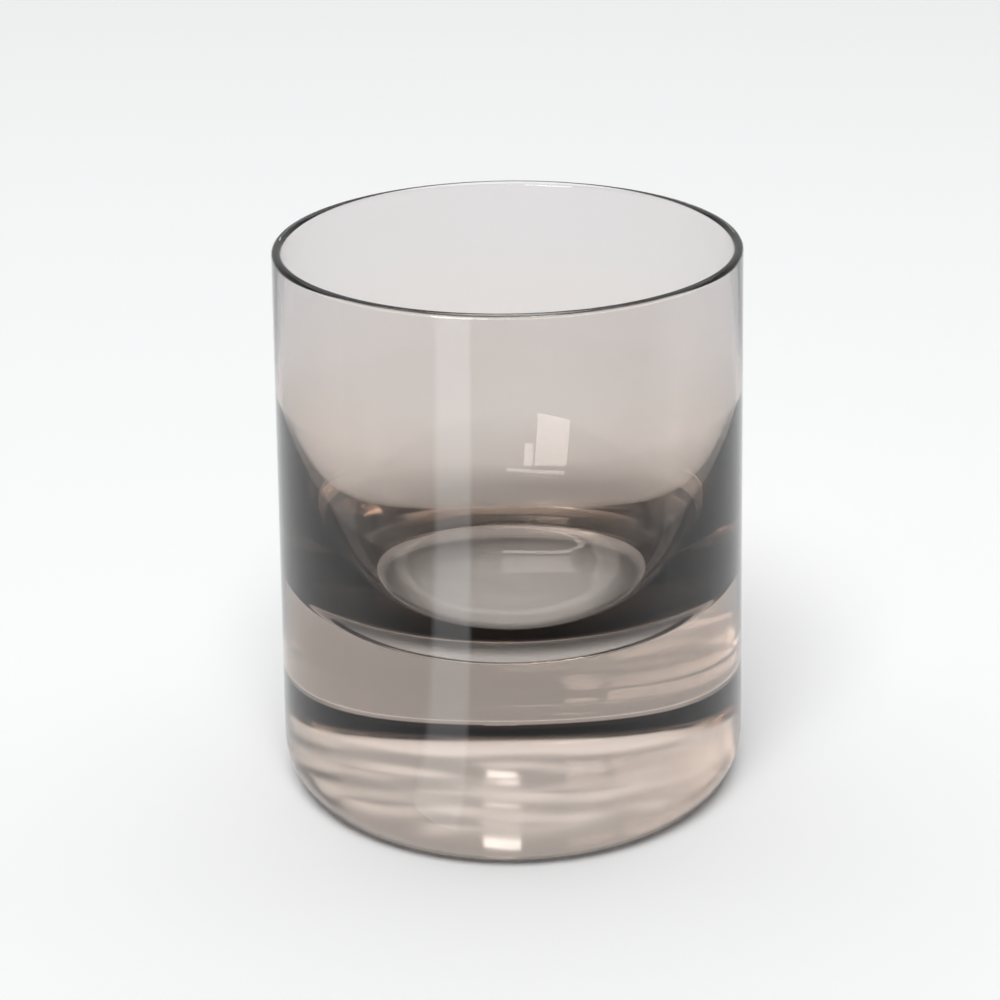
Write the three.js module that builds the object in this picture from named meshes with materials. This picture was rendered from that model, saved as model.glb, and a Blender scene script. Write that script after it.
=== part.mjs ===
// Rocks glass: a thin blown bowl on a heavy solid base, both under one thin casing of smoke glass.
// Millimetres, +Z up. The origin is the middle of the foot, on the surface that the glass stands on.
import * as THREE from 'three';

// Outside
const rimDiameter = 78;
const baseDiameter = 81.9;
const height = 96.2;
const heelReach = 5.2;
const heelRise = 5.3;

// Lip and walls
const lipThickness = 1.6;
const straightWall = 24.3;
const bowlWall = 1;
const casingThickness = 0.3;

// Cavity
const cavityFloor = 31.4;
const floorSquareness = 5.9;
const wallSquareness = 1.9;

// Seat of the bowl in the base
const bowlBottom = 8;
const seatDip = 6;

// Foot
const hollowDiameter = 30;
const hollowDepth = 0.4;
const groundAngle = 70;

// Fineness of the turned surfaces
const turnSteps = 64;
const cavitySteps = 22;
const heelSteps = 10;
const lipSteps = 8;
const seatSteps = 6;
const hollowSteps = 6;

const lipRadius = lipThickness / 2;
const lipFoot = height - lipRadius;
const seatMiddle = cavityFloor - bowlBottom;
const seatEdge = seatMiddle + seatDip;
const footRadius = baseDiameter / 2 - heelReach;
const hollowRadius = hollowDiameter / 2;

const clearGlass = new THREE.MeshStandardMaterial({
  color: 0xe9ebe8,
  roughness: 0.03,
  metalness: 0,
  transparent: true,
  opacity: 0.3,
});

const smokeGlass = new THREE.MeshStandardMaterial({
  color: 0xb5a398,
  roughness: 0.03,
  metalness: 0,
  transparent: true,
  opacity: 0.45,
});

// A point of a half section: distance from the axis, and height above the foot.
const point = (radius, z) => new THREE.Vector2(radius, z);

// Evenly stepped values from one end to the other, both included.
function steps(from, to, count) {
  return Array.from({ length: count + 1 }, (_, i) => from + ((to - from) * i) / count);
}

// The outside leans in a little from the top of the heel to the foot of the lip.
function outsideRadius(z) {
  const share = (z - heelRise) / (lipFoot - heelRise);
  return THREE.MathUtils.lerp(baseDiameter / 2, rimDiameter / 2, share);
}

// The rounded heel, on the outside or one casing thickness in, from one angle to another.
function heelArc(inset, fromAngle, toAngle, count) {
  return steps(fromAngle, toAngle, count).map((angle) => {
    const turn = THREE.MathUtils.degToRad(angle);
    return point(
      footRadius + (heelReach - inset) * Math.cos(turn),
      heelRise - (heelRise - inset) * Math.sin(turn),
    );
  });
}

// The shallow round seat between bowl and base, from the axis to the wall under the casing.
function seatArc() {
  const edge = outsideRadius(seatEdge) - casingThickness;
  const seatRadius = (edge * edge + seatDip * seatDip) / (2 * seatDip);
  return steps(0, edge, seatSteps).map((radius) => {
    const rise = seatRadius - Math.sqrt(seatRadius * seatRadius - radius * radius);
    return point(radius, seatMiddle + rise);
  });
}

// The inside of the bowl, from the middle of its floor out and up to the straight wall.
function cavityArc() {
  const top = height - straightWall;
  const reach = outsideRadius(top) - bowlWall;
  const depth = top - cavityFloor;
  return steps(90, 0, cavitySteps).map((angle) => {
    const turn = THREE.MathUtils.degToRad(angle);
    const across = angle === 90 ? 0 : Math.cos(turn) ** (2 / floorSquareness);
    const down = Math.sin(turn) ** (2 / wallSquareness);
    return point(reach * across, top - depth * down);
  });
}

// The fire-polished lip, a half round from the inside of the wall over to the outside.
function lipArc() {
  const middle = rimDiameter / 2 - lipRadius;
  return steps(180, 0, lipSteps).map((angle) => {
    const turn = THREE.MathUtils.degToRad(angle);
    return point(middle + lipRadius * Math.cos(turn), lipFoot + lipRadius * Math.sin(turn));
  });
}

// The slight hollow under the foot, a soft dip from its ring in to the axis.
function hollowArc() {
  return steps(hollowRadius, 0, hollowSteps).map((radius) => {
    const dip = (1 + Math.cos((Math.PI * radius) / hollowRadius)) / 2;
    return point(radius, hollowDepth * dip);
  });
}

// Turn a half section about the axis, and stand it up along Z.
function turned(name, section, material) {
  const geometry = new THREE.LatheGeometry(section, turnSteps);
  geometry.rotateX(Math.PI / 2);
  const mesh = new THREE.Mesh(geometry, material);
  mesh.name = name;
  return mesh;
}

// The blown bowl: rounded inside, a lip that covers the casing's top edge, and a round bottom.
function bowl() {
  const underLip = point(outsideRadius(lipFoot) - casingThickness, lipFoot);
  const section = [...seatArc(), underLip, ...lipArc().reverse(), ...cavityArc().reverse()];
  return turned('bowl', section, clearGlass);
}

// The heavy base: a seat for the bowl, a rounded heel, and a foot ground flat round a hollow.
function base() {
  const section = [
    ...hollowArc().reverse(),
    ...heelArc(0, 90, groundAngle, heelSteps / 2),
    ...heelArc(casingThickness, groundAngle, 0, heelSteps),
    ...seatArc().reverse(),
  ];
  return turned('base', section, clearGlass);
}

// The smoke casing: one thin skin from under the lip to the ground part of the heel.
function smokeCasing() {
  const lip = outsideRadius(lipFoot);
  const seat = seatArc().at(-1);
  const section = [
    ...heelArc(0, groundAngle, 0, heelSteps),
    point(lip, lipFoot),
    point(lip - casingThickness, lipFoot),
    seat,
    ...heelArc(casingThickness, 0, groundAngle, heelSteps),
  ];
  return turned('smoke_casing', [...section, section[0].clone()], smokeGlass);
}

const rocksGlass = new THREE.Group();
rocksGlass.add(bowl(), base(), smokeCasing());

export default rocksGlass;
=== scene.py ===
# Rocks glass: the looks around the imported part.
# One section for each layer of glass, in the order they are made, then the floor, the light and the camera.
import math

import bpy
from mathutils import Matrix, Vector


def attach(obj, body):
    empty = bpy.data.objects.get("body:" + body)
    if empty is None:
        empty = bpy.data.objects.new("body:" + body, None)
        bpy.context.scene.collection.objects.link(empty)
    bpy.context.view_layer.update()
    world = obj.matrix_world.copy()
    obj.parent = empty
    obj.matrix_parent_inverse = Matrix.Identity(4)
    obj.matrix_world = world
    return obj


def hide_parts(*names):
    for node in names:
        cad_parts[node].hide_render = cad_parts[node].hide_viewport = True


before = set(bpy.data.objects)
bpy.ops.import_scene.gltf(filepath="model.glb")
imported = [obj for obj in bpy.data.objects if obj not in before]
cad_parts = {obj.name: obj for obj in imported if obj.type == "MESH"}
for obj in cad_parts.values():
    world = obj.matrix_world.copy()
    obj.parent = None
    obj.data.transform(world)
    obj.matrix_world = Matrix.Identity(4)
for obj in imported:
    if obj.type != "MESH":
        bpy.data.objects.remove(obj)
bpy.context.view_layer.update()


# Bowl. The inner layer: clear glass, blown on the iron, opened out and cut, thin at the lip, thick below.
# The lip is fire-polished to a half round. The outside is fused to the base and the casing, so no face
# shows there: rays pass those faces straight through.
MM = 0.001
rim_radius = 39.0 * MM
base_radius = 40.95 * MM
height = 96.2 * MM
heel_rise = 8.0 * MM
heel_squareness = 2.2
lip_radius = 0.8 * MM
lip_foot = height - lip_radius
straight_wall = 24.3 * MM
bowl_wall = 1.0 * MM
casing_thickness = 0.3 * MM
cavity_floor = 31.4 * MM
floor_squareness = 5.9
wall_squareness = 1.9
bowl_bottom = 8.0 * MM
seat_dip = 6.0 * MM
turn_steps = 256
cavity_steps = 72
lip_steps = 24
wall_steps = 16
seat_steps = 20
crease_angle = math.radians(28)
weld_distance = 0.001 * MM
hair = 0.01 * MM
leaning = 0.1


def outside_radius(z):
    """The outside leans in a little from the top of the heel to the foot of the lip."""
    share = (z - heel_rise) / (lip_foot - heel_rise)
    return base_radius + (rim_radius - base_radius) * share


def spread(start, end, count):
    """Even steps from one value to another, both included."""
    return [start + (end - start) * i / count for i in range(count + 1)]


def cavity_section():
    """The inside, from the straight wall down and round to the middle of the floor."""
    top = height - straight_wall
    reach = outside_radius(top) - bowl_wall
    depth = top - cavity_floor
    arc = []
    for angle in spread(0, math.pi / 2, cavity_steps)[:-1]:
        radius = reach * math.cos(angle) ** (2 / floor_squareness)
        arc.append((radius, top - depth * math.sin(angle) ** (2 / wall_squareness)))
    return arc + [(0, cavity_floor)]


def lip_section():
    """The half round of the lip, from its outside over to its inside."""
    middle = rim_radius - lip_radius
    turns = spread(0, math.pi, lip_steps)
    return [(middle + lip_radius * math.cos(a), lip_foot + lip_radius * math.sin(a)) for a in turns]


def seat_section():
    """The round seat between bowl and base, from the axis out to the casing."""
    middle = cavity_floor - bowl_bottom
    edge = outside_radius(middle + seat_dip) - casing_thickness
    curve = (edge**2 + seat_dip**2) / (2 * seat_dip)
    return [(r, middle + curve - math.sqrt(curve**2 - r**2)) for r in spread(0, edge, seat_steps)]


def wall_section(inset):
    """The straight outside, on the surface or one inset under it, from the seat up to the lip."""
    start = cavity_floor - bowl_bottom + seat_dip
    return [(outside_radius(z) - inset, z) for z in spread(start, lip_foot, wall_steps)]


def turned(name, section):
    """Draw a half section point by point from one vertex, then spin it once round the axis of the glass."""
    bpy.ops.object.select_all(action="DESELECT")
    bpy.ops.mesh.primitive_plane_add(size=1 * MM, location=(0, 0, 0))
    piece = bpy.context.object
    piece.name = piece.data.name = name
    bpy.ops.object.mode_set(mode="EDIT")
    bpy.ops.mesh.select_mode(type="VERT")
    bpy.ops.mesh.select_all(action="SELECT")
    bpy.ops.mesh.merge(type="CENTER")
    here = (0, 0)
    for i, (radius, z) in enumerate(section):
        step = (radius - here[0], 0, z - here[1])
        if i == 0:
            bpy.ops.transform.translate(value=step)
        else:
            bpy.ops.mesh.extrude_region_move(TRANSFORM_OT_translate={"value": step})
        here = (radius, z)
    bpy.ops.mesh.select_all(action="SELECT")
    bpy.ops.mesh.spin(steps=turn_steps, angle=math.tau, center=(0, 0, 0), axis=(0, 0, 1))
    bpy.ops.mesh.select_all(action="SELECT")
    bpy.ops.mesh.remove_doubles(threshold=weld_distance)
    bpy.ops.mesh.normals_make_consistent(inside=False)
    bpy.ops.object.mode_set(mode="OBJECT")
    bpy.ops.object.shade_smooth_by_angle(angle=crease_angle)
    return piece


def outward(face):
    """How far a face looks away from the axis: 1 straight out, -1 straight in."""
    radius = math.hypot(face.center.x, face.center.y)
    return (face.normal.x * face.center.x + face.normal.y * face.center.y) / max(radius, 1e-9)


def give_faces(piece, material, wanted):
    """Give a material to the faces that wanted picks."""
    if piece.data.materials.find(material.name) < 0:
        piece.data.materials.append(material)
    piece.active_material_index = piece.data.materials.find(material.name)
    bpy.ops.object.mode_set(mode="EDIT")
    bpy.ops.mesh.select_mode(type="FACE")
    bpy.ops.mesh.select_all(action="DESELECT")
    bpy.ops.object.mode_set(mode="OBJECT")
    for face in piece.data.polygons:
        face.select = wanted(face)
    bpy.ops.object.mode_set(mode="EDIT")
    bpy.ops.object.material_slot_assign()
    bpy.ops.object.mode_set(mode="OBJECT")


def node(tree, kind, place, **values):
    """Add a shader node at a place in the node editor and set its sockets by name."""
    made = tree.nodes.new(kind)
    made.location = place
    for name, value in values.items():
        made.inputs[name.replace("_", " ")].default_value = value
    return made


def glass(name, pale, deep, polish, ripple, ripple_size):
    """See-through glass with faint tone changes, a polish that may vary, and soft ripples."""
    material = bpy.data.materials.new(name)
    material.use_nodes = True
    tree = material.node_tree
    shader = tree.nodes["Principled BSDF"]
    shader.inputs["Transmission Weight"].default_value = 1.0
    shader.inputs["IOR"].default_value = glass_bend
    shader.inputs["Roughness"].default_value = polish[0]
    place = node(tree, "ShaderNodeTexCoord", (-1100, 0))
    cloud = node(tree, "ShaderNodeTexNoise", (-850, 200), Scale=cloud_size, Detail=3.0)
    tone = node(tree, "ShaderNodeMix", (-400, 250))
    tone.data_type = "RGBA"
    tone.inputs["A"].default_value = (*pale, 1)
    tone.inputs["B"].default_value = (*deep, 1)
    stretch = node(tree, "ShaderNodeMapping", (-850, -250), Scale=ripple_stretch)
    wave = node(tree, "ShaderNodeTexNoise", (-620, -250), Scale=ripple_size, Detail=2.0)
    bump = node(tree, "ShaderNodeBump", (-400, -250), Strength=ripple, Distance=ripple_height)
    tree.links.new(place.outputs["Object"], cloud.inputs["Vector"])
    tree.links.new(cloud.outputs["Fac"], tone.inputs["Factor"])
    tree.links.new(tone.outputs["Result"], shader.inputs["Base Color"])
    if polish[0] != polish[1]:
        sheen = node(tree, "ShaderNodeMapRange", (-400, 0), To_Min=polish[0], To_Max=polish[1])
        tree.links.new(cloud.outputs["Fac"], sheen.inputs["Value"])
        tree.links.new(sheen.outputs["Result"], shader.inputs["Roughness"])
    tree.links.new(place.outputs["Object"], stretch.inputs["Vector"])
    tree.links.new(stretch.outputs["Vector"], wave.inputs["Vector"])
    tree.links.new(wave.outputs["Fac"], bump.inputs["Height"])
    tree.links.new(bump.outputs["Normal"], shader.inputs["Normal"])
    return material


def bare_shader(name, kind):
    """A material with one shader in place of the usual one."""
    material = bpy.data.materials.new(name)
    material.use_nodes = True
    tree = material.node_tree
    tree.nodes.remove(tree.nodes["Principled BSDF"])
    shader = node(tree, kind, (0, 300))
    tree.links.new(shader.outputs[0], tree.nodes["Material Output"].inputs["Surface"])
    return material, tree, shader


glass_bend = 1.5
cloud_size = 45.0
ripple_stretch = (1.0, 1.0, 2.2)
ripple_height = 0.1 * MM
bowl_pale = (1.0, 1.0, 1.0)
bowl_deep = (0.985, 0.99, 0.985)
bowl_polish = (0.0, 0.0)
bowl_ripple = 0.10
bowl_ripple_size = 60.0
clear_glass = glass("clear_glass", bowl_pale, bowl_deep, bowl_polish, bowl_ripple, bowl_ripple_size)
fused_glass = bare_shader("fused_glass", "ShaderNodeBsdfTransparent")[0]

bowl_outside = wall_section(casing_thickness)
bowl = turned("bowl_glass", seat_section()[:-1] + bowl_outside + lip_section() + cavity_section())
give_faces(bowl, clear_glass, lambda face: True)
give_faces(
    bowl,
    fused_glass,
    lambda face: face.center.z < lip_foot + hair and (outward(face) > leaning or face.normal.z < -leaning),
)
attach(bowl, "root")
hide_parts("bowl")


# Base. The heavy block of clear glass under the bowl, gathered hot round its bottom and shaped in a mould.
# The heel is rounded. The foot is ground flat round a slight hollow left by the mould, and polished by hand,
# which leaves it a little soft and wavy.
heel_reach = 5.2 * MM
foot_radius = base_radius - heel_reach
hollow_radius = 15.0 * MM
hollow_depth = 0.12 * MM
ground_angle = math.radians(70)
heel_steps = 32
ground_steps = 6
hollow_steps = 16
foot_steps = 20
foot_wave = 0.22 * MM
foot_wave_size = 8.0 * MM
foot_height = 0.2 * MM
foot_edge = 0.999
foot_fade = 4


def heel_section(inset, start, end, count):
    """The rounded heel, on the surface or one inset under it, between two angles down from the level."""
    arc = []
    for angle in spread(start, end, count):
        across = max(math.cos(angle), 0.0) ** (2 / heel_squareness)
        down = math.sin(angle) ** (2 / heel_squareness)
        arc.append((foot_radius + (heel_reach - inset) * across, heel_rise - (heel_rise - inset) * down))
    return arc


def lower_wall_section(inset):
    """The straight outside from the top of the heel up to the seat."""
    end = cavity_floor - bowl_bottom + seat_dip
    return [(outside_radius(z) - inset, z) for z in spread(heel_rise, end, wall_steps // 4)]


hollow = []
for r in spread(0, hollow_radius, hollow_steps):
    hollow.append((r, hollow_depth * (1 + math.cos(math.pi * r / hollow_radius)) / 2))
hollow += [(r, 0) for r in spread(hollow_radius, foot_radius, foot_steps)[1:-1]]
ground_heel = heel_section(0, math.pi / 2, ground_angle, ground_steps)
cased_heel = heel_section(casing_thickness, ground_angle, 0, heel_steps)
base_outside = cased_heel[:-1] + lower_wall_section(casing_thickness)

foot_pale = (1.0, 1.0, 1.0)
foot_deep = (0.98, 0.985, 0.98)
foot_polish = (0.09, 0.15)
foot_ripple = 0.02
foot_ripple_size = 60.0
ground_glass = glass("ground_glass", foot_pale, foot_deep, foot_polish, foot_ripple, foot_ripple_size)

base = turned("base_glass", hollow + ground_heel + base_outside + seat_section()[-2::-1])
waves = bpy.data.textures.new("foot_waves", type="CLOUDS")
waves.noise_scale = foot_wave_size
waves.noise_depth = 0
foot = base.vertex_groups.new(name="foot")
for vertex in base.data.vertices:
    reach = math.hypot(vertex.co.x, vertex.co.y) / foot_radius
    if vertex.co.z < foot_height and reach < foot_edge:
        foot.add([vertex.index], min(1.0, (1.0 - reach) * foot_fade), "REPLACE")
bpy.ops.object.modifier_add(type="DISPLACE")
wavy = base.modifiers[-1]
wavy.texture = waves
wavy.texture_coords = "LOCAL"
wavy.vertex_group = foot.name
wavy.direction = "Z"
wavy.mid_level = 0.0
wavy.strength = foot_wave
bpy.ops.object.modifier_apply(modifier=wavy.name)
ground_top = ground_heel[-1][1]
give_faces(base, ground_glass, lambda face: face.center.z < ground_top)
give_faces(base, fused_glass, lambda face: face.center.z >= ground_top)
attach(base, "root")
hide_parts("base")


# Smoke casing. A thin skin of warm smoke glass, gathered over the outside of bowl and base and fused to
# both. All the colour is in it, thinner and greyer above: a ray takes more the flatter it runs, and loses
# light where it is turned back at the outside. It stops at the ground part of the heel.
casing_gap = 0.02 * MM
smoke_thin = (0.835, 0.82, 0.825)
smoke_thick = (0.84, 0.785, 0.745)
least_facing = 0.35
turned_back = 0.42
back_range = (0.62, 0.76)
thin_above = 84.0 * MM
thick_below = 60.0 * MM
smoke_cloud_size = 25.0
smoke_cloud = 0.25
facing_out = 0.02
facing_up = 0.99
casing_pale = (1.0, 1.0, 1.0)
casing_deep = (0.98, 0.98, 0.98)
casing_polish = (0.0, 0.0)
casing_ripple = 0.10
casing_ripple_size = 35.0
smoke_glass = glass("smoke_glass", casing_pale, casing_deep, casing_polish, casing_ripple, casing_ripple_size)

smoke_film, film_tree, film_shader = bare_shader("smoke_film", "ShaderNodeBsdfTransparent")
film_place = node(film_tree, "ShaderNodeTexCoord", (-1100, 300))
film_cloud = node(film_tree, "ShaderNodeTexNoise", (-850, 300), Scale=smoke_cloud_size, Detail=2.0)
film_tone = node(film_tree, "ShaderNodeMix", (-500, 350))
film_tone.data_type = "RGBA"
film_tone.inputs["A"].default_value = (*smoke_thin, 1)
film_tone.inputs["B"].default_value = (*smoke_thick, 1)
film_slant = node(film_tree, "ShaderNodeLayerWeight", (-1100, 0), Blend=0.5)
film_facing = node(film_tree, "ShaderNodeMath", (-850, 0))
film_facing.operation = "SUBTRACT"
film_facing.inputs[0].default_value = 1.0
film_depth = node(film_tree, "ShaderNodeMath", (-600, 0))
film_depth.operation = "MAXIMUM"
film_depth.inputs[1].default_value = least_facing
film_path = node(film_tree, "ShaderNodeMath", (-400, 0))
film_path.operation = "DIVIDE"
film_path.inputs[0].default_value = 1.0
film_back = node(film_tree, "ShaderNodeMapRange", (-600, -200), To_Min=turned_back, To_Max=1.0)
film_back.inputs["From Min"].default_value = back_range[0]
film_back.inputs["From Max"].default_value = back_range[1]
film_back.interpolation_type = "SMOOTHSTEP"
film_taken = node(film_tree, "ShaderNodeGamma", (-200, 250))
film_rise = node(film_tree, "ShaderNodeSeparateXYZ", (-850, 550))
film_grade = node(film_tree, "ShaderNodeMapRange", (-650, 550), From_Min=thin_above, From_Max=thick_below)
film_mix = node(film_tree, "ShaderNodeMath", (-500, 550))
film_mix.operation = "MULTIPLY_ADD"
film_mix.inputs[1].default_value = smoke_cloud
film_left = node(film_tree, "ShaderNodeMix", (0, 0), Factor=1.0)
film_left.data_type = "RGBA"
film_left.blend_type = "MULTIPLY"
film_tree.links.new(film_place.outputs["Object"], film_cloud.inputs["Vector"])
film_tree.links.new(film_place.outputs["Object"], film_rise.inputs["Vector"])
film_tree.links.new(film_rise.outputs["Z"], film_grade.inputs["Value"])
film_tree.links.new(film_cloud.outputs["Fac"], film_mix.inputs[0])
film_tree.links.new(film_grade.outputs["Result"], film_mix.inputs[2])
film_tree.links.new(film_mix.outputs["Value"], film_tone.inputs["Factor"])
film_tree.links.new(film_tone.outputs["Result"], film_taken.inputs["Color"])
film_tree.links.new(film_slant.outputs["Facing"], film_facing.inputs[1])
film_tree.links.new(film_facing.outputs["Value"], film_depth.inputs[0])
film_tree.links.new(film_depth.outputs["Value"], film_path.inputs[1])
film_tree.links.new(film_facing.outputs["Value"], film_back.inputs["Value"])
film_tree.links.new(film_path.outputs["Value"], film_taken.inputs["Gamma"])
film_tree.links.new(film_taken.outputs["Color"], film_left.inputs["A"])
film_tree.links.new(film_back.outputs["Result"], film_left.inputs["B"])
film_tree.links.new(film_left.outputs["Result"], film_shader.inputs["Color"])


def casing_section(inset):
    """One face of the casing, on the surface or one inset under it, from the ground heel up to the lip."""
    heel = heel_section(inset, ground_angle, 0, heel_steps)
    return heel[:-1] + lower_wall_section(inset)[:-1] + wall_section(inset)


casing_outside = casing_section(0)
casing_inside = casing_section(casing_thickness - casing_gap)
casing = turned("smoke_casing_glass", casing_outside + casing_inside[::-1] + casing_outside[:1])
give_faces(casing, smoke_glass, lambda face: outward(face) > facing_out)
give_faces(casing, smoke_film, lambda face: outward(face) <= facing_out and face.normal.z < facing_up)
give_faces(casing, fused_glass, lambda face: outward(face) <= facing_out and face.normal.z >= facing_up)
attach(casing, "root")
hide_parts("smoke_casing")


# Floor. A plain pale table top, matt, wide enough to fill the picture from any side.
# It lies a hair under the foot, so that the two faces do not meet.
floor_size = 12.0
floor_drop = 0.1 * MM
floor_colour = (0.955, 0.96, 0.965)
bpy.ops.object.select_all(action="DESELECT")
bpy.ops.mesh.primitive_plane_add(size=floor_size, location=(0, 0, -floor_drop))
floor = bpy.context.object
floor.name = "floor"
floor_material, floor_tree, floor_shader = bare_shader("floor_matt", "ShaderNodeBsdfDiffuse")
floor_shader.inputs["Color"].default_value = (*floor_colour, 1)
floor.data.materials.append(floor_material)


# Light. A soft white room, bright above and behind, dark in front. The glass mirrors a window at the front
# left, a dim one behind, and a dark card on the floor in front with a pale strip in it; the card is a painted
# reflection of a darker floor, with a strip of painted light in it, that only the glass shows. A key lamp
# lights the floor alone, and a weak glow under the foot, a painted pool of light in place of the light the
# glass gathers there, lightens the cavity's floor.
sky_top = 0.6
sky_upper = [(65, sky_top), (90, sky_top)]
sky_behind = [(0, 0.5), (10, 0.52), (24, 0.54), (29, 0.58), (31, 0.74), (34, 1.15), (50, 1.0)] + sky_upper
sky_side = [(0, 0.3), (18, 0.5), (22.5, 0.12), (26.5, 0.12), (28, 0.9), (34, 1.0)] + sky_upper
sky_front = [(0, 0.05), (54, 0.05), (64, sky_top), (90, sky_top)]
side_begins = 0.5
side_full = 0.62
front_fade = 0.15
world = bpy.data.worlds.new("studio")
bpy.context.scene.world = world
world.use_nodes = True
world_tree = world.node_tree
world_place = node(world_tree, "ShaderNodeTexCoord", (-900, 0))
world_axes = node(world_tree, "ShaderNodeSeparateXYZ", (-700, 0))
world_reach = node(world_tree, "ShaderNodeMath", (-700, 250))
world_reach.operation = "ABSOLUTE"
world_turn = node(world_tree, "ShaderNodeMapRange", (-450, 450), From_Min=side_begins, From_Max=side_full)
world_turn.interpolation_type = "SMOOTHSTEP"
world_side = node(world_tree, "ShaderNodeMapRange", (-450, 250), From_Min=-front_fade, From_Max=front_fade)
world_back = node(world_tree, "ShaderNodeMix", (-300, 0))
world_back.data_type = "RGBA"
world_mix = node(world_tree, "ShaderNodeMix", (-150, 100))
world_mix.data_type = "RGBA"
world_tree.links.new(world_place.outputs["Generated"], world_axes.inputs["Vector"])
world_tree.links.new(world_axes.outputs["X"], world_reach.inputs[0])
world_tree.links.new(world_reach.outputs["Value"], world_turn.inputs["Value"])
world_tree.links.new(world_turn.outputs["Result"], world_back.inputs["Factor"])
world_tree.links.new(world_axes.outputs["Y"], world_side.inputs["Value"])
world_tree.links.new(world_side.outputs["Result"], world_mix.inputs["Factor"])
world_tree.links.new(world_back.outputs["Result"], world_mix.inputs["B"])
sky_parts = (
    (world_mix.inputs["A"], sky_front),
    (world_back.inputs["A"], sky_behind),
    (world_back.inputs["B"], sky_side),
)
for row, (socket, levels) in enumerate(sky_parts):
    tone = node(world_tree, "ShaderNodeValToRGB", (-600, -250 * row))
    stops = tone.color_ramp.elements
    for i, (elevation, level) in enumerate(levels):
        stop = stops[i] if i < 2 else stops.new(1.0)
        stop.position = math.sin(math.radians(elevation))
        stop.color = (level, level, level, 1)
    world_tree.links.new(world_axes.outputs["Z"], tone.inputs["Fac"])
    world_tree.links.new(tone.outputs["Color"], socket)
world_tree.links.new(world_mix.outputs["Result"], world_tree.nodes["Background"].inputs["Color"])


def soft_lamp(name, azimuth, elevation, distance, size, power):
    """A rectangular soft lamp that looks at the glass. Azimuth 0 is the camera's side, and grows to +X."""
    turn, rise = math.radians(azimuth), math.radians(elevation)
    aim = Vector((0, 0, height / 2))
    away = Vector((math.sin(turn) * math.cos(rise), -math.cos(turn) * math.cos(rise), math.sin(rise)))
    bpy.ops.object.light_add(type="AREA", location=aim + away * distance)
    lamp = bpy.context.object
    lamp.name = lamp.data.name = name
    lamp.data.shape = "RECTANGLE"
    lamp.data.size, lamp.data.size_y = size
    lamp.data.energy = power
    lamp.rotation_euler = (-away).to_track_quat("-Z", "Y").to_euler()
    return lamp


window_distance = 0.8
window_level = 8.0
far_distance = 5.0
far_turns = (175.5, 180.5)
window_panes = (
    ("tall_pane", (-35, -16), (-2, 26), window_distance, window_level),
    ("slim_pane", (-14, -9), (11, 26), window_distance, window_level),
    ("top_pane", (-35, -1), (32, 36), window_distance, window_level),
    ("far_sill", far_turns, (19.2, 20.2), far_distance, 3.6),
    ("far_pane", far_turns, (21.2, 26.5), far_distance, 1.5),
)
for name, turns, rises, pane_distance, level in window_panes:
    size = [2 * pane_distance * math.tan(math.radians(abs(b - a) / 2)) for a, b in (turns, rises)]
    pane_power = level * math.pi * size[0] * size[1]
    pane = soft_lamp(name, sum(turns) / 2, sum(rises) / 2, pane_distance, size, pane_power)
    pane.visible_camera = False
    pane.visible_diffuse = False

key_turn = -8
key_rise = 61
key_distance = 4.0
key_size = (2.3, 1.7)
key_power = 110.0
key = soft_lamp("key", key_turn, key_rise, key_distance, key_size, key_power)
key.visible_camera = False
key.visible_glossy = False
key.visible_transmission = False


def flat_patch(name, corners, height_above):
    """A flat four-cornered patch over the floor that only reflections see."""
    bpy.ops.object.select_all(action="DESELECT")
    bpy.ops.mesh.primitive_plane_add(size=1.0, location=(0, 0, 0))
    patch = bpy.context.object
    patch.name = name
    for vertex, (x, y) in zip(patch.data.vertices, corners):
        vertex.co = (x, y, height_above)
    patch.visible_camera = False
    patch.visible_shadow = False
    patch.visible_diffuse = False
    patch.visible_transmission = False
    return patch


# The front card is a painted reflection: the glass sees a dark floor in front, where the floor is evenly
# pale, with a pale strip of painted light in it.
card_dark = 0.05
card_pale = 0.9
card_colour = (0.97, 1.0, 1.03)
card_reach = 0.9
card_front = -1.3
card_back = -0.05
card_back_fade = -0.15
card_left_fade = (-0.35, -0.1)
card_lift = 0.1 * MM
strip_level = 1.9
strip_edges = [(-16, 0.0), (-18, 1.0), (-31, 1.0), (-34, 0.0)]
card_corners = [(x, y) for y in (card_front, card_back) for x in (-card_reach, card_reach)]
card = flat_patch("front_painted_reflection", card_corners, card_lift)
card_material, card_tree, card_shader = bare_shader("painted_reflection_glow", "ShaderNodeEmission")
card_shader.inputs["Color"].default_value = (*card_colour, 1)
card_place = node(card_tree, "ShaderNodeTexCoord", (-1300, 300))
card_axes = node(card_tree, "ShaderNodeSeparateXYZ", (-1100, 300))
card_near = node(card_tree, "ShaderNodeMapRange", (-900, 450), From_Min=card_back, From_Max=card_back_fade)
card_left = node(card_tree, "ShaderNodeMapRange", (-900, 150))
card_left.inputs["From Min"].default_value = card_left_fade[0]
card_left.inputs["From Max"].default_value = card_left_fade[1]
card_both = node(card_tree, "ShaderNodeMath", (-700, 300))
card_both.operation = "MULTIPLY"
card_tone = node(card_tree, "ShaderNodeMapRange", (-500, 300), To_Min=card_pale, To_Max=card_dark)
card_turn = node(card_tree, "ShaderNodeMath", (-900, -150))
card_turn.operation = "DIVIDE"
card_strip = node(card_tree, "ShaderNodeValToRGB", (-700, -150))
strip_stops = card_strip.color_ramp.elements
for i, (turn, level) in enumerate(strip_edges):
    stop = strip_stops[i] if i < 2 else strip_stops.new(1.0)
    stop.position = math.tan(math.radians(-turn))
    stop.color = (level, level, level, 1)
card_level = node(card_tree, "ShaderNodeMix", (-250, 200))
card_level.inputs["B"].default_value = strip_level
card_tree.links.new(card_place.outputs["Object"], card_axes.inputs["Vector"])
card_tree.links.new(card_axes.outputs["Y"], card_near.inputs["Value"])
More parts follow.
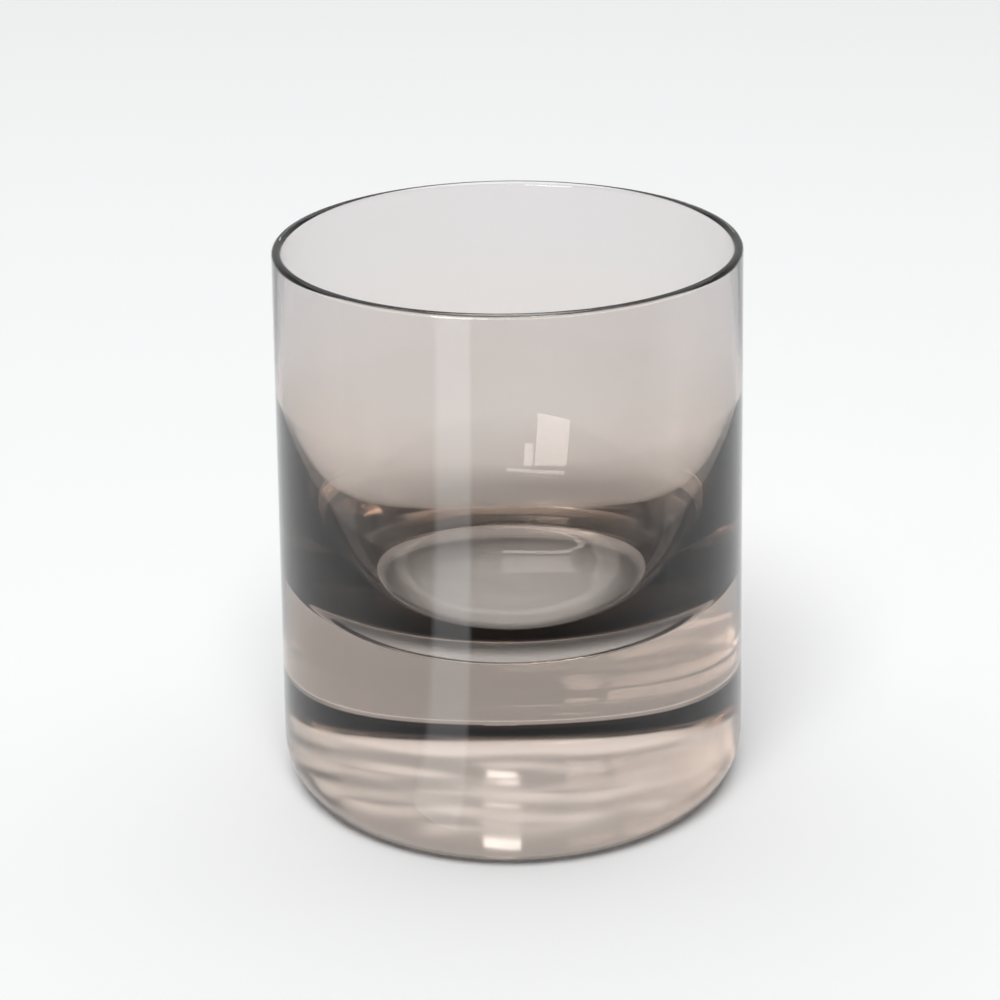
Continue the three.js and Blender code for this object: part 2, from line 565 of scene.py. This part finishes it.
card_tree.links.new(card_axes.outputs["X"], card_left.inputs["Value"])
card_tree.links.new(card_near.outputs["Result"], card_both.inputs[0])
card_tree.links.new(card_left.outputs["Result"], card_both.inputs[1])
card_tree.links.new(card_both.outputs["Value"], card_tone.inputs["Value"])
card_tree.links.new(card_axes.outputs["X"], card_turn.inputs[0])
card_tree.links.new(card_axes.outputs["Y"], card_turn.inputs[1])
card_tree.links.new(card_turn.outputs["Value"], card_strip.inputs["Fac"])
card_tree.links.new(card_tone.outputs["Result"], card_level.inputs["A"])
card_tree.links.new(card_strip.outputs["Color"], card_level.inputs["Factor"])
card_tree.links.new(card_level.outputs["Result"], card_shader.inputs["Strength"])
card.data.materials.append(card_material)

# The glow under the foot is painted light: a pool of light on the floor in place of the light the glass
# gathers there, seen only through the glass.
spot_level = 0.25
spot_reach = (16.0 * MM, 36.0 * MM)
spot_middle = 3.0 * MM
spot_drop = 0.05 * MM
spot_corners = [(x * spot_reach[1], y * spot_reach[1] + spot_middle) for y in (-1, 1) for x in (-1, 1)]
spot = flat_patch("painted_light_pool", spot_corners, -spot_drop)
spot.visible_transmission = True
spot_material, spot_tree, spot_shader = bare_shader("painted_light_pool_glow", "ShaderNodeEmission")
spot_place = node(spot_tree, "ShaderNodeTexCoord", (-1000, 300))
spot_shift = node(spot_tree, "ShaderNodeVectorMath", (-800, 300))
spot_shift.inputs[1].default_value = (0, -spot_middle, 0)
spot_far = node(spot_tree, "ShaderNodeVectorMath", (-600, 300))
spot_far.operation = "LENGTH"
spot_fall = node(spot_tree, "ShaderNodeMapRange", (-400, 300), From_Min=spot_reach[0], From_Max=spot_reach[1])
spot_fall.inputs["To Min"].default_value = spot_level
spot_fall.inputs["To Max"].default_value = 0.0
spot_fall.interpolation_type = "SMOOTHSTEP"
spot_clear = node(spot_tree, "ShaderNodeBsdfTransparent", (0, 100))
spot_both = node(spot_tree, "ShaderNodeAddShader", (150, 250))
spot_tree.links.new(spot_place.outputs["Object"], spot_shift.inputs[0])
spot_tree.links.new(spot_shift.outputs["Vector"], spot_far.inputs[0])
spot_tree.links.new(spot_far.outputs["Value"], spot_fall.inputs["Value"])
spot_tree.links.new(spot_fall.outputs["Result"], spot_shader.inputs["Strength"])
spot_tree.links.new(spot_shader.outputs[0], spot_both.inputs[0])
spot_tree.links.new(spot_clear.outputs[0], spot_both.inputs[1])
spot_tree.links.new(spot_both.outputs[0], spot_tree.nodes["Material Output"].inputs["Surface"])
spot.data.materials.append(spot_material)


# Camera, at the photograph's height and angle, which were fitted to the glass's outline.
# The photograph leans by under a degree, and its middle is a little off the glass's own.
camera_distance = 405.8 * MM
camera_elevation = math.radians(23.0342)
camera_lean = math.radians(-0.707)
camera_sensor = 36.0
camera_lens = 84.14
camera_shift = (-0.0105, 0.0085)
camera_near = 0.01
bpy.ops.object.camera_add()
camera = bpy.context.object
camera.name = "camera"
camera.data.sensor_width = camera_sensor
camera.data.lens = camera_lens
camera.data.shift_x = camera_shift[0]
camera.data.shift_y = camera_shift[1]
camera.data.clip_start = camera_near
look = Vector((0, math.cos(camera_elevation), -math.sin(camera_elevation)))
camera.location = Vector((0, 0, height / 2)) - camera_distance * look
facing = look.to_track_quat("-Z", "Y").to_matrix().to_4x4() @ Matrix.Rotation(camera_lean, 4, "Z")
camera.rotation_euler = facing.to_euler()

scene = bpy.context.scene
scene.camera = camera
scene.view_settings.view_transform = "Standard"
scene.cycles.max_bounces = 32
scene.cycles.transmission_bounces = 32
scene.cycles.glossy_bounces = 24
scene.cycles.transparent_max_bounces = 96
scene.cycles.caustics_refractive = True
scene.cycles.caustics_reflective = True
